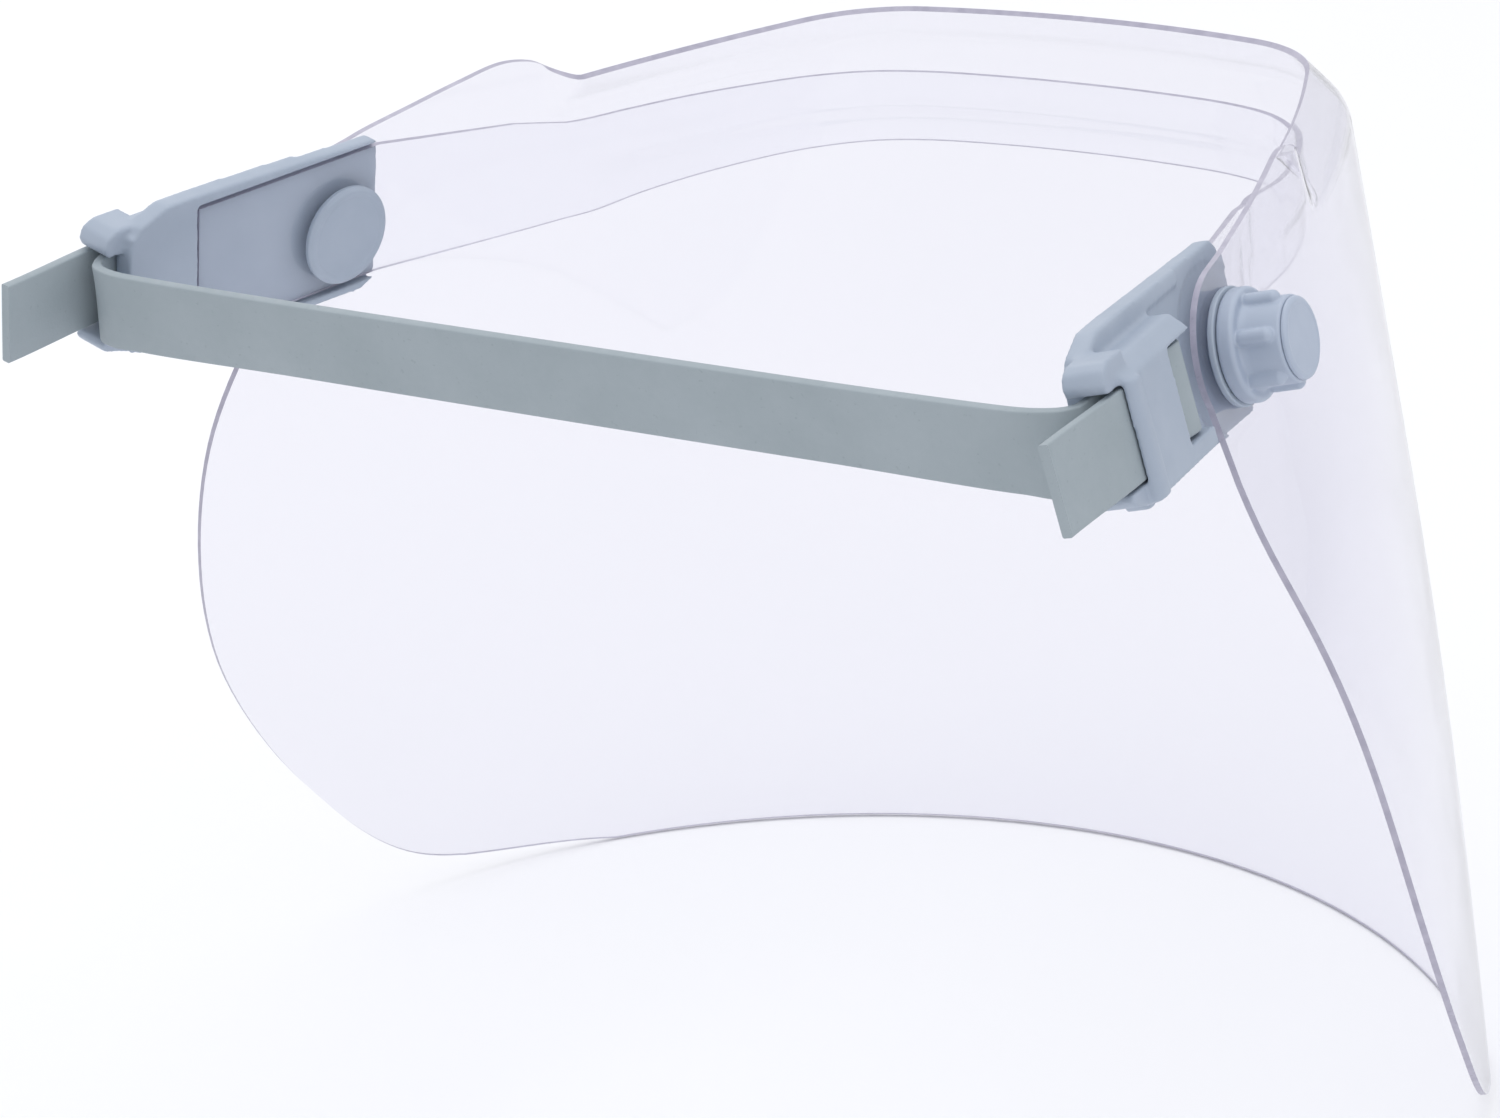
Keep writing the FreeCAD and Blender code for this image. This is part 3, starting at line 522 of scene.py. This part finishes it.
def both_sides(points, rows):
    """Columns of the -X half reversed, then the +X half, sharing the middle column."""
    columns = len(points) // rows
    out = []
    for i in range(columns - 1, 0, -1):
        for j in range(rows):
            p = points[i * rows + j]
            out.append(Vector((-p.x, p.y, p.z)))
    out.extend(points)
    return out


def sheet_object(name, points, rows, thickness, mats):
    """Sheet of real thickness inside a grid of points; its cut edges take the second material."""
    obj = new_object(name, points, grid_faces(len(points) // rows, rows), mats)
    shade_smooth(obj)
    mod = obj.modifiers.new("thickness", "SOLIDIFY")
    mod.thickness = thickness * MM
    mod.offset = -1.0
    mod.use_rim = True
    mod.use_even_offset = False
    mod.material_offset_rim = 1
    apply_modifiers(obj)
    shade_smooth(obj, 50)
    return obj


def drill(obj, radius, side):
    """Round hole along a clamp screw's axis."""
    axis = Vector((side * W_DIR.x, W_DIR.y, W_DIR.z))
    centre = plate(0, 0, 0)
    centre.x *= side
    bm = bmesh.new()
    turn = Vector((0, 0, 1)).rotation_difference(axis).to_matrix().to_4x4()
    bmesh.ops.create_cone(bm, cap_ends=True, segments=48, radius1=radius * MM, radius2=radius * MM,
                          depth=0.03, matrix=Matrix.Translation(centre * MM) @ turn)
    mesh = bpy.data.meshes.new("drill")
    bm.to_mesh(mesh)
    bm.free()
    tool = bpy.data.objects.new("drill", mesh)
    bpy.context.scene.collection.objects.link(tool)
    mod = obj.modifiers.new("hole", "BOOLEAN")
    mod.operation = "DIFFERENCE"
    mod.object = tool
    mod.solver = "EXACT"
    apply_modifiers(obj)
    bpy.data.objects.remove(tool)
    bpy.data.meshes.remove(mesh)


visor = sheet_object("visor_sheet", both_sides(half, ROWS), ROWS, SHEET_THICK, [CLEAR, EDGE])
for side in (1, -1):
    drill(visor, VISOR_HOLE_RADIUS, side)
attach(visor, "visor")
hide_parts("outer_shell")

# ---------------------------------------------------------------- inner brow strip
STRIP_PATH = [(103.3, -48.0), (99.6, -57.5), (96.0, -66.0), (92.6, -85.0), (85.0, -107.0), (73.5, -127.5),
              (60.0, -140.0), (45.0, -145.8), (22.0, -148.8), (0.0, -149.6)]
STRIP_TOP = [(-47.0, 14.6), (-62.0, 11.2), (-85.0, 9.0), (-120.0, 6.5), (-150.0, 5.0)]
STRIP_LOW = -13.0
STRIP_ROWS = 22
TAB_REAR, TAB_FRONT, TAB_LOW, TAB_HIGH, TAB_W = 44.5, -13.0, -14.8, 19.4, -0.8
TAB_STEPS, BEND_STEPS = 24, 16
SWELL_START, SWELL_FADE, SWELL_HEIGHT, SWELL_MIDDLE, SWELL_WIDTH = -62.0, 18.0, 1.1, 0.52, 0.17


def strip_top(y):
    """Height of the strip's upper edge."""
    for (y0, z0), (y1, z1) in zip(STRIP_TOP, STRIP_TOP[1:]):
        if y >= y1:
            return lerp(z0, z1, min(max((y0 - y) / (y0 - y1), 0.0), 1.0))
    return STRIP_TOP[-1][1]


strip_ends = []  # (lower point, upper point)
for k in range(TAB_STEPS + 1):
    u = lerp(TAB_REAR, TAB_FRONT, k / TAB_STEPS)
    strip_ends.append((plate(u, TAB_LOW, TAB_W), plate(u, TAB_HIGH, TAB_W)))
full_path = curve_through(STRIP_PATH + [(-x, y) for x, y in reversed(STRIP_PATH[-3:-1])], 12)
full_path = [p for p in full_path if p[0] >= -1e-6]
start_low, start_high = strip_ends[-1]
for k in range(1, BEND_STEPS):
    t = k / BEND_STEPS
    ease = t + 0.05 * math.sin(2 * math.pi * t)
    goal = full_path[0]
    low = Vector((goal[0], goal[1], STRIP_LOW))
    high = Vector((goal[0], goal[1], strip_top(goal[1])))
    strip_ends.append((start_low.lerp(low, ease), start_high.lerp(high, ease)))
for p in full_path:
    strip_ends.append((Vector((p[0], p[1], STRIP_LOW)), Vector((p[0], p[1], strip_top(p[1])))))

strip_half = []
for i, (low, high) in enumerate(strip_ends):
    ahead = strip_ends[min(i + 1, len(strip_ends) - 1)][0]
    behind = strip_ends[max(i - 1, 0)][0]
    run = (ahead - behind).normalized()
    outward = Vector((-run.y, run.x, 0.0))
    if i == len(strip_ends) - 1:
        outward = Vector((0.0, -1.0, 0.0))
    if outward.dot(Vector((low.x, low.y + 20.0, 0.0))) < 0:
        outward = -outward
    share = smooth((SWELL_START - low.y) / SWELL_FADE)
    for j in range(STRIP_ROWS):
        t = j / (STRIP_ROWS - 1)
        swell = math.exp(-((t - SWELL_MIDDLE) / SWELL_WIDTH) ** 2)
        strip_half.append(low.lerp(high, t) + outward * (SWELL_HEIGHT * swell * share))
strip_half = [strip_half[(len(strip_ends) - 1 - i) * STRIP_ROWS + j]
              for i in range(len(strip_ends)) for j in range(STRIP_ROWS)]
strip = sheet_object("brow_strip", both_sides(strip_half, STRIP_ROWS), STRIP_ROWS, SHEET_THICK,
                     [CLEAR_STRIP, EDGE])
for side in (1, -1):
    drill(strip, STRIP_HOLE_RADIUS, side)
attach(strip, "carrier")
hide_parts("inner_strip")


# ---------------------------------------------------------------- moulded plastic pieces
def node_mesh(node, name):
    """Copy of a CAD node's mesh in the row frame."""
    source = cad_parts[node]
    mesh = source.data.copy()
    mesh.transform(source.matrix_world)
    obj = bpy.data.objects.new(name, mesh)
    bpy.context.scene.collection.objects.link(obj)
    recalc(obj)
    return obj


def keep_largest(obj):
    """Drops every loose crumb that the remesh left beside the moulding."""
    bm = bmesh.new()
    bm.from_mesh(obj.data)
    left, groups = set(bm.verts), []
    while left:
        stack, group = [left.pop()], []
        while stack:
            vertex = stack.pop()
            group.append(vertex)
            for edge in vertex.link_edges:
                other = edge.other_vert(vertex)
                if other in left:
                    left.remove(other)
                    stack.append(other)
        groups.append(group)
    largest = max(groups, key=len)
    for group in groups:
        if group is not largest:
            bmesh.ops.delete(bm, geom=group, context="VERTS")
    bm.to_mesh(obj.data)
    bm.free()


def soften(obj, voxel, passes):
    """Closed moulding with every edge and inside corner rounded."""
    mod = obj.modifiers.new("even", "REMESH")
    mod.mode = "VOXEL"
    mod.voxel_size = voxel * MM
    mod.use_smooth_shade = True
    mod = obj.modifiers.new("round", "SMOOTH")
    mod.factor = 0.5
    mod.iterations = passes
    apply_modifiers(obj)
    keep_largest(obj)
    shade_smooth(obj)
    return obj


NODE_OF = {"side_bracket": "bracket", "clamp_disc": "clamp_screw", "grommet": "washer",
           "clamp_knob": "knob", "end_cap": "knob_cap"}


def finish_pair(obj, stem, body, other_body, mat):
    """Gives the left piece its material, mirrors it to the right, and ties both to their bodies."""
    obj.data.materials.clear()
    obj.data.materials.append(mat)
    twin = mirrored(obj, stem + "_R")
    obj.name = stem + "_L"
    for piece, ride_on, node in ((obj, body, "left"), (twin, other_body, "right")):
        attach(piece, ride_on)
        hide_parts(NODE_OF[stem] + "_" + node)


def round_more(obj, weight_of, passes):
    """Further rounding where weight_of(u, v, w) is above zero."""
    group = obj.vertex_groups.new(name="more")
    for vertex in obj.data.vertices:
        offset = vertex.co / MM - plate(0, 0, 0)
        weight = weight_of(offset.dot(U_DIR), offset.dot(V_DIR), offset.dot(W_DIR))
        if weight > 0.0:
            group.add([vertex.index], weight, "REPLACE")
    mod = obj.modifiers.new("more", "SMOOTH")
    mod.factor = 0.5
    mod.iterations = passes
    mod.vertex_group = "more"
    apply_modifiers(obj)
    shade_smooth(obj)


def rim_and_ridge(u, v, w):
    """Weight of the bracket's thick rolls: upper rim, rear end and lower border."""
    rim = smooth((v - 13.8) / 2.0)
    rear = smooth((u - 57.5) / 2.5) * smooth((w - 10.4) / 0.6)
    under = smooth((-11.0 - v) / 1.5) * smooth((w + 0.6) / 0.6)
    return max(rim, rear, under)


BRACKET_VOXEL, BRACKET_PASSES, BRACKET_MORE = 0.42, 9, 16
bracket = soften(node_mesh("bracket_left", "side_bracket"), BRACKET_VOXEL, BRACKET_PASSES)
round_more(bracket, rim_and_ridge, BRACKET_MORE)
finish_pair(bracket, "side_bracket", "carrier", "carrier", PLASTIC)


def lathe(name, profile, segments=96):
    """Solid of revolution about the +X clamp screw's axis; profile is a closed run of (radius, w)."""
    verts, faces = [], []
    count = len(profile)
    for k in range(segments):
        a = 2 * math.pi * k / segments
        for r, w in profile:
            verts.append(plate(r * math.cos(a), r * math.sin(a), w))
    for k in range(segments):
        n = (k + 1) % segments
        for j in range(count - 1):
            faces.append((k * count + j, n * count + j, n * count + j + 1, k * count + j + 1))
    obj = new_object(name, verts, faces, [])
    recalc(obj)
    bm = bmesh.new()
    bm.from_mesh(obj.data)
    bmesh.ops.dissolve_degenerate(bm, dist=1e-6, edges=bm.edges)
    bmesh.ops.holes_fill(bm, edges=bm.edges, sides=segments)
    bmesh.ops.recalc_face_normals(bm, faces=bm.faces)
    bm.to_mesh(obj.data)
    bm.free()
    shade_smooth(obj, 40)
    return obj


def rounded(profile, radius, steps=5):
    """Profile with its inner corners replaced by short arcs."""
    out = [profile[0]]
    for i in range(1, len(profile) - 1):
        p = Vector(profile[i])
        a, b = Vector(profile[i - 1]) - p, Vector(profile[i + 1]) - p
        cut = min(radius, a.length * 0.45, b.length * 0.45)
        start, stop = p + a.normalized() * cut, p + b.normalized() * cut
        for k in range(steps + 1):
            t = k / steps
            out.append(tuple(start * (1 - t) ** 2 + p * 2 * t * (1 - t) + stop * t * t))
    out.append(profile[-1])
    return out


def capsule(name, angle, radius, reach, w0, w1):
    """Finger rib: a rod with domed ends lying against the knob's hub."""
    verts, faces = [], []
    rings, around = 16, 20
    cu, cv = reach * math.cos(angle), reach * math.sin(angle)
    for i in range(rings + 1):
        t = math.pi * i / rings
        ring_r = radius * math.sin(t)
        w = (w0 + radius if i <= rings // 2 else w1 - radius) - radius * math.cos(t)
        for k in range(around):
            a = 2 * math.pi * k / around
            verts.append(plate(cu + ring_r * math.cos(a), cv + ring_r * math.sin(a), w))
    for i in range(rings):
        for k in range(around):
            n = (k + 1) % around
            faces.append((i * around + k, i * around + n, (i + 1) * around + n, (i + 1) * around + k))
    obj = new_object(name, verts, faces, [])
    recalc(obj)
    return obj


def joined(objects):
    """All the meshes as one object."""
    bm = bmesh.new()
    for obj in objects:
        bm.from_mesh(obj.data)
    bm.to_mesh(objects[0].data)
    bm.free()
    for obj in objects[1:]:
        mesh = obj.data
        bpy.data.objects.remove(obj)
        bpy.data.meshes.remove(mesh)
    return objects[0]


KNOB_PROFILE = [(4.05, 12.0), (4.05, 6.45), (12.2, 6.45), (12.67, 6.9), (12.67, 9.7), (12.1, 10.4),
                (10.1, 10.45), (9.7, 12.0), (9.6, 19.6), (9.3, 20.0), (7.95, 20.0), (7.95, 19.0),
                (4.05, 19.0), (4.05, 12.0)]
DISC_PROFILE = [(0.0, -6.1), (10.2, -6.1), (10.7, -6.3), (11.7, -6.3), (12.67, -5.5), (12.67, -4.35),
                (4.0, -4.35), (4.0, 18.5), (0.0, 18.5)]
GROMMET_PROFILE = [(4.2, 4.0), (4.2, 3.25), (6.15, 3.25), (6.15, 4.72), (13.2, 4.72), (13.2, 6.2),
                   (4.2, 6.2), (4.2, 4.0)]
CAP_PROFILE = [(0.0, 19.05), (7.8, 19.05), (7.8, 20.05), (9.1, 20.1), (9.1, 20.9), (8.5, 21.35),
               (7.9, 21.4), (7.5, 21.25), (0.0, 21.3)]
RIBS, RIB_START, RIB_RADIUS, RIB_REACH, RIB_LOW, RIB_HIGH = 6, 25, 1.8, 9.9, 9.8, 18.8
KNOB_VOXEL, KNOB_PASSES = 0.28, 2
KNOB_ROUND, DISC_ROUND, GROMMET_ROUND, CAP_ROUND = 0.4, 0.35, 0.45, 0.3

knob_parts = [lathe("clamp_knob", rounded(KNOB_PROFILE, KNOB_ROUND))]
for rib in range(RIBS):
    turned = math.radians(360 // RIBS * rib + RIB_START)
    knob_parts.append(capsule("rib", turned, RIB_RADIUS, RIB_REACH, RIB_LOW, RIB_HIGH))
knob = soften(joined(knob_parts), KNOB_VOXEL, KNOB_PASSES)
finish_pair(knob, "clamp_knob", "knob_left_body", "knob_right_body", KNOB_PLASTIC)

disc = lathe("clamp_disc", rounded(DISC_PROFILE, DISC_ROUND))
finish_pair(disc, "clamp_disc", "visor", "visor", PLASTIC)
grommet = lathe("grommet", rounded(GROMMET_PROFILE, GROMMET_ROUND))
finish_pair(grommet, "grommet", "visor", "visor", WASHER)
cap = lathe("end_cap", rounded(CAP_PROFILE, CAP_ROUND))
finish_pair(cap, "end_cap", "knob_left_body", "knob_right_body", KNOB_PLASTIC)

# ---------------------------------------------------------------- rubber strap
STRAP_H, STRAP_T, STRAP_ROUND = 20.0, 2.4, 0.45
V_MID = 3.5
TAIL_END_U, TAIL_END_W, TAIL_W = 97.0, 4.8, 8.1
HOUSE_REAR_U, BAND_OUT_U = 66.0, 64.0
LOOP_U, LOOP_W, LOOP_R = 36.6, 5.95, 2.15
LOOP_SWELL, LOOP_SWELL_U, LOOP_SWELL_RUN = 0.75, 41.5, 4.5
TAIL_STEPS, LOOP_STEPS, BAND_STEPS, BEND_SPANS = 12, 16, 10, 14
BAND_Y = 75.5

route = []  # (centre, up): tail, housing, loop round the bar, housing, then the band to the middle
for k in range(TAIL_STEPS + 1):
    t = k / TAIL_STEPS
    w = lerp(TAIL_END_W, TAIL_W, smooth(t) * 0.35 + t * 0.65)
    route.append((plate(lerp(TAIL_END_U, HOUSE_REAR_U, t), V_MID, w), V_DIR))
for k in range(1, LOOP_STEPS + 1):
    u = lerp(HOUSE_REAR_U, LOOP_U, k / LOOP_STEPS)
    swell = LOOP_SWELL * smooth((LOOP_SWELL_U - u) / LOOP_SWELL_RUN)
    route.append((plate(u, V_MID, LOOP_W + LOOP_R + swell), V_DIR))
for k in range(1, LOOP_STEPS + 1):
    a = math.pi * k / LOOP_STEPS
    rise = LOOP_R + LOOP_SWELL * (0.5 + 0.5 * math.cos(a))
    route.append((plate(LOOP_U - LOOP_R * math.sin(a), V_MID, LOOP_W + rise * math.cos(a)), V_DIR))
for k in range(1, BAND_STEPS + 1):
    route.append((plate(lerp(LOOP_U, BAND_OUT_U, k / BAND_STEPS), V_MID, LOOP_W - LOOP_R), V_DIR))
leave = route[-1][0]
BEND = [leave, leave + Vector((-0.1, 3.6, 0.0)), Vector((leave.x - 1.9, BAND_Y - 4.6, 3.4)),
        Vector((leave.x - 6.8, BAND_Y - 1.1, 3.3)), Vector((leave.x - 16.0, BAND_Y, 3.2)),
        Vector((70.0, BAND_Y + 0.2, 3.0)), Vector((0.0, BAND_Y + 0.4, 3.0)),
        Vector((-70.0, BAND_Y + 0.2, 3.0))]
LEANS = [V_DIR, V_DIR, Vector((-0.10, 0.03, 0.99)), Vector((-0.03, 0.10, 0.99)), Vector((0.0, 0.18, 0.98)),
         Vector((0.0, 0.24, 0.97)), Vector((0.0, 0.24, 0.97)), Vector((0.0, 0.24, 0.97))]
bend_curve = curve_through([tuple(p) for p in BEND], BEND_SPANS)
middle = BEND_SPANS * (len(BEND) - 2)  # the curve's point at the back of the head
for k, p in enumerate(bend_curve[1:middle + 1], start=1):
    i, t = divmod(k, BEND_SPANS)
    up = LEANS[i].lerp(LEANS[min(i + 1, len(LEANS) - 1)], smooth(t / BEND_SPANS)).normalized()
    route.append((p, up))
other = [(Vector((-p.x, p.y, p.z)), Vector((-up.x, up.y, up.z))) for p, up in reversed(route[:-1])]
route += other

section = []  # the strap's rounded cross-section
for sx, sy, a0 in ((1, 1, 0), (-1, 1, 90), (-1, -1, 180), (1, -1, 270)):
    for k in range(5):
        a = math.radians(a0 + 22.5 * k)
        section.append((sx * (STRAP_T / 2 - STRAP_ROUND) + STRAP_ROUND * math.cos(a),
                        sy * (STRAP_H / 2 - STRAP_ROUND) + STRAP_ROUND * math.sin(a)))
verts, faces = [], []
ring = len(section)
for i, (p, up) in enumerate(route):
    run = (route[min(i + 1, len(route) - 1)][0] - route[max(i - 1, 0)][0]).normalized()
    rise = (up - run * up.dot(run)).normalized()
    out = run.cross(rise)
    for a, b in section:
        verts.append(p + out * a + rise * b)
for i in range(len(route) - 1):
    for k in range(ring):
        n = (k + 1) % ring
        faces.append((i * ring + k, i * ring + n, (i + 1) * ring + n, (i + 1) * ring + k))
faces.append(tuple(range(ring - 1, -1, -1)))
faces.append(tuple((len(route) - 1) * ring + k for k in range(ring)))
strap = new_object("elastic_strap", verts, faces, [RUBBER])
recalc(strap)
shade_smooth(strap, 35)
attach(strap, "carrier")
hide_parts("strap")

# ---------------------------------------------------------------- stage, light and camera
FLOOR_SIZE, SENSOR_WIDTH, LENS = 14.0, 36.0, 120.0
bpy.ops.mesh.primitive_plane_add(size=FLOOR_SIZE, location=(0.0, 0.0, FLOOR_Z))
floor = bpy.context.object
floor.name = "floor"
floor.data.materials.append(floor_paper())

world = bpy.data.worlds.new("studio")
bpy.context.scene.world = world
world.use_nodes = True
background = world.node_tree.nodes["Background"]
background.inputs["Color"].default_value = (0.96, 0.97, 1.0, 1.0)
background.inputs["Strength"].default_value = 0.85


def soft_light(name, place, aim, size, power):
    """Large area lamp at place, turned towards aim."""
    lamp = bpy.data.lights.new(name, "AREA")
    lamp.shape = "RECTANGLE"
    lamp.size, lamp.size_y = size
    lamp.energy = power
    obj = bpy.data.objects.new(name, lamp)
    obj.location = place
    obj.rotation_euler = (Vector(aim) - Vector(place)).to_track_quat("-Z", "Y").to_euler()
    bpy.context.scene.collection.objects.link(obj)


soft_light("key", (-1.1, 0.9, 1.6), (0.0, -0.05, -0.05), (1.2, 1.2), 4.5)
soft_light("rim", (1.3, -0.9, 1.1), (0.0, -0.05, 0.0), (1.0, 1.4), 4.5)
soft_light("top", (0.0, -0.2, 1.9), (0.0, -0.1, 0.0), (1.6, 1.6), 9.0)

camera_data = bpy.data.cameras.new("camera")
camera_data.sensor_width = SENSOR_WIDTH
camera_data.lens = LENS
camera_data.clip_start = 0.01
camera = bpy.data.objects.new("camera", camera_data)
CAMERA_PLACE = Vector((-0.65379, 0.87501, 0.36281))
CAMERA_RIGHT = Vector((-0.81567, -0.57170, -0.08861))
CAMERA_UP = Vector((0.14372, -0.34862, 0.92618))
camera_back = CAMERA_RIGHT.cross(CAMERA_UP).normalized()
turn = Matrix((CAMERA_RIGHT, CAMERA_UP, camera_back)).transposed()
camera.matrix_world = Matrix.Translation(CAMERA_PLACE) @ turn.to_4x4()
bpy.context.scene.collection.objects.link(camera)
bpy.context.scene.camera = camera

bpy.context.scene.view_settings.view_transform = "Standard"
